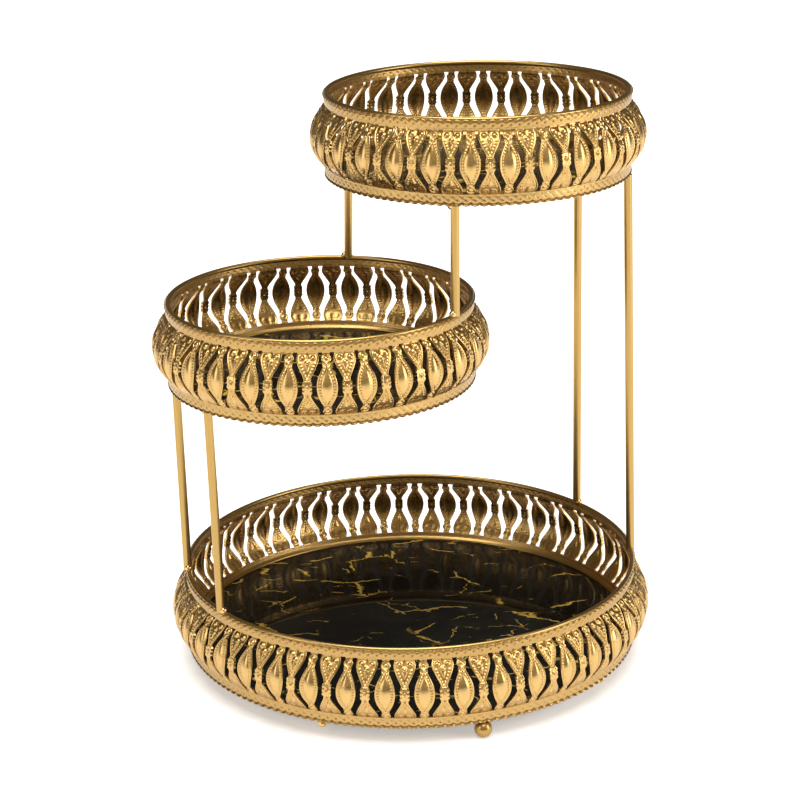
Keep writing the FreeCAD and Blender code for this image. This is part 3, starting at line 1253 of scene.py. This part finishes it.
@dataclass(frozen=True)
class Lamp:
    """Soft rectangular lamp, aimed at a point."""

    name: str
    place: tuple[float, float, float]
    size: tuple[float, float]
    power: float
    colour: Colour = (1.0, 1.0, 1.0)
    target: tuple[float, float, float] = (0.0, 0.0, 0.2)

    def hang(self) -> None:
        """Add the lamp to the scene."""
        data = bpy.data.lights.new(self.name, "AREA")
        data.shape = "RECTANGLE"
        data.size, data.size_y = self.size
        data.energy = self.power
        data.color = self.colour
        lamp = bpy.data.objects.new(self.name, data)
        aim = Vector(self.target) - Vector(self.place)
        lamp.rotation_euler = aim.to_track_quat("-Z", "Y").to_euler()
        lamp.location = self.place
        bpy.context.scene.collection.objects.link(lamp)


@dataclass(frozen=True)
class Studio:
    """Pale floor, soft lights and the camera. Angles are in degrees, sizes in metres."""

    eye: tuple[float, float, float] = (-0.00343, -1.35086, 0.63364)
    pitch: float = 18.83
    roll: float = -1.09
    lens: float = 98.14
    sensor: float = 36.0
    floor_radius: float = 9.0
    floor_sides: int = 96
    air_colour: Colour = (1.0, 0.88, 0.7)
    air_strength: float = 0.12
    overhead_power: float = 3.5
    overhead_angle: float = 50.0
    overhead_tilt: float = 7.0
    lamps: tuple[Lamp, ...] = (
        Lamp("left_softbox", (-1.5, -1.0, 0.8), (0.8, 1.2), 8.0),
        Lamp("right_softbox", (1.6, -0.6, 0.7), (0.8, 1.1), 14.0),
        Lamp("front_scrim", (0.0, -2.3, 1.7), (4.0, 2.2), 11.0, (1.0, 0.88, 0.66)))

    def camera(self) -> None:
        """Set up the camera."""
        data = bpy.data.cameras.new("studio_camera")
        data.lens = self.lens
        data.sensor_width = self.sensor
        camera = bpy.data.objects.new("studio_camera", data)
        tilt, roll = math.radians(self.pitch), math.radians(self.roll)
        forward = Vector((0.0, math.cos(tilt), -math.sin(tilt)))
        right = Vector((1.0, 0.0, 0.0))
        up = right.cross(forward)
        level_right = right * math.cos(roll) + up * math.sin(roll)
        level_up = up * math.cos(roll) - right * math.sin(roll)
        turn = Matrix((level_right, level_up, -forward)).transposed()
        camera.matrix_world = Matrix.Translation(Vector(self.eye)) @ turn.to_4x4()
        bpy.context.scene.collection.objects.link(camera)
        bpy.context.scene.camera = camera

    def floor(self) -> None:
        """Lay the round floor."""
        mesh = bpy.data.meshes.new("floor")
        turns = np.linspace(0, 2 * np.pi, self.floor_sides, endpoint=False)
        edge = [(self.floor_radius * math.cos(turn), self.floor_radius * math.sin(turn), 0.0)
                for turn in turns]
        mesh.from_pydata(edge, [], [tuple(range(self.floor_sides))])
        mesh.materials.append(FloorFinish().make())
        floor = bpy.data.objects.new("floor", mesh)
        bpy.context.scene.collection.objects.link(floor)
        floor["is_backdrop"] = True

    def lights(self) -> None:
        """Hang the lamps and set the surrounding light."""
        world = bpy.data.worlds.new("studio_air")
        world.use_nodes = True
        air = world.node_tree.nodes["Background"]
        air.inputs["Color"].default_value = (*self.air_colour, 1.0)
        air.inputs["Strength"].default_value = self.air_strength
        bpy.context.scene.world = world
        overhead = bpy.data.lights.new("overhead_light", "SUN")
        overhead.energy = self.overhead_power
        overhead.angle = math.radians(self.overhead_angle)
        hung = bpy.data.objects.new("overhead_light", overhead)
        hung.rotation_euler = (math.radians(self.overhead_tilt), 0.0, 0.0)
        bpy.context.scene.collection.objects.link(hung)
        for lamp in self.lamps:
            lamp.hang()
        bpy.context.scene.view_settings.view_transform = "Standard"

    def build(self) -> None:
        """Build the whole studio."""
        self.floor()
        self.lights()
        self.camera()


@dataclass(frozen=True)
class GoldSet:
    """The gold finishes of the stand's different metal parts. The plaited and wire golds are darker
    copies of the lace gold: painted shade.
    """

    lace: GoldFinish = GoldFinish("pressed_gold")
    # Darker face than the lace gold: painted shade for the bands.
    plait: GoldFinish = GoldFinish("plaited_gold_shaded", face=(0.45, 0.295, 0.115), satin=0.34)
    # Darker face than the lace gold: painted shade that offsets the light from the glowing floor.
    smooth: GoldFinish = GoldFinish("wire_gold_shaded", face=(0.43, 0.275, 0.09), satin=0.3,
                                    unevenness=0.02, grain_depth=0.003, uses_relief=False)
    bead: GoldFinish = GoldFinish("weld_gold", face=(0.74, 0.48, 0.19), satin=0.16,
                                  grain_depth=0.03, uses_relief=False)


@dataclass
class Tray:
    """One tray: its wall, bands, wire, hoop and glass plate."""

    plan: TrayPlan
    lace: bpy.types.Material
    plait: bpy.types.Material
    smooth: bpy.types.Material
    glass: bpy.types.Material
    rim_band_foot: float = 46.7
    rim_band_inset: float = 0.6
    rim_band_depth: float = 0.35
    base_band_head: float = 7.7
    base_band_width: float = 6.6
    base_band_depth: float = 0.7
    base_band_flare: float = 2.2

    def build(self, frame: Mapping[str, object]) -> None:
        """Build the tray.

        Args:
            frame: What the frame holds.
        """
        LaceWall(self.plan, self.lace).build()
        PlaitedBand(self.plan, self.plait, "rim_braid", FreeEdge.TOP, self.rim_band_foot,
                    straight_offset=-self.rim_band_inset, depth=self.rim_band_depth).build()
        PlaitedBand(self.plan, self.plait, "base_braid", FreeEdge.BOTTOM, self.base_band_head,
                    depth=self.base_band_depth, width=self.base_band_width,
                    flare=self.base_band_flare).build()
        rings = TrayRings(self.plan, self.smooth)
        rings.build_wire()
        rings.build_hoop()
        dress_packed(frame, f"{self.plan.label}_glass_plate", self.glass)


TRAYS = (("lower", 41, -87.5, 6), ("middle", 28, -86.35, 4), ("upper", 28, -81.76, 4))
GLASS_SHIFT = (0.13, 0.07, 0.0)


def corners() -> list[list[float]]:
    """Box of everything that is shown, as plain lists."""
    return [list(map(float, corner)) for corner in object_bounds()]


def main() -> None:
    """Build every sub-assembly in order."""
    logging.basicConfig(level=logging.INFO, format="%(message)s")
    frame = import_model()

    gold = GoldSet()
    lace, plait = gold.lace.make(), gold.plait.make()
    smooth, bead = gold.smooth.make(), gold.bead.make()
    for index, tray in enumerate(TRAYS):
        plan = TrayPlan.read(*tray)
        shift = tuple(index * part for part in GLASS_SHIFT)
        glass = MarbleGlassFinish(f"{plan.label}_marble_glass", shift).make()
        Tray(plan, lace, plait, smooth, glass).build(frame)
    Stand(smooth, bead).build(frame)
    Studio().build()


if __name__ == "__main__":
    main()
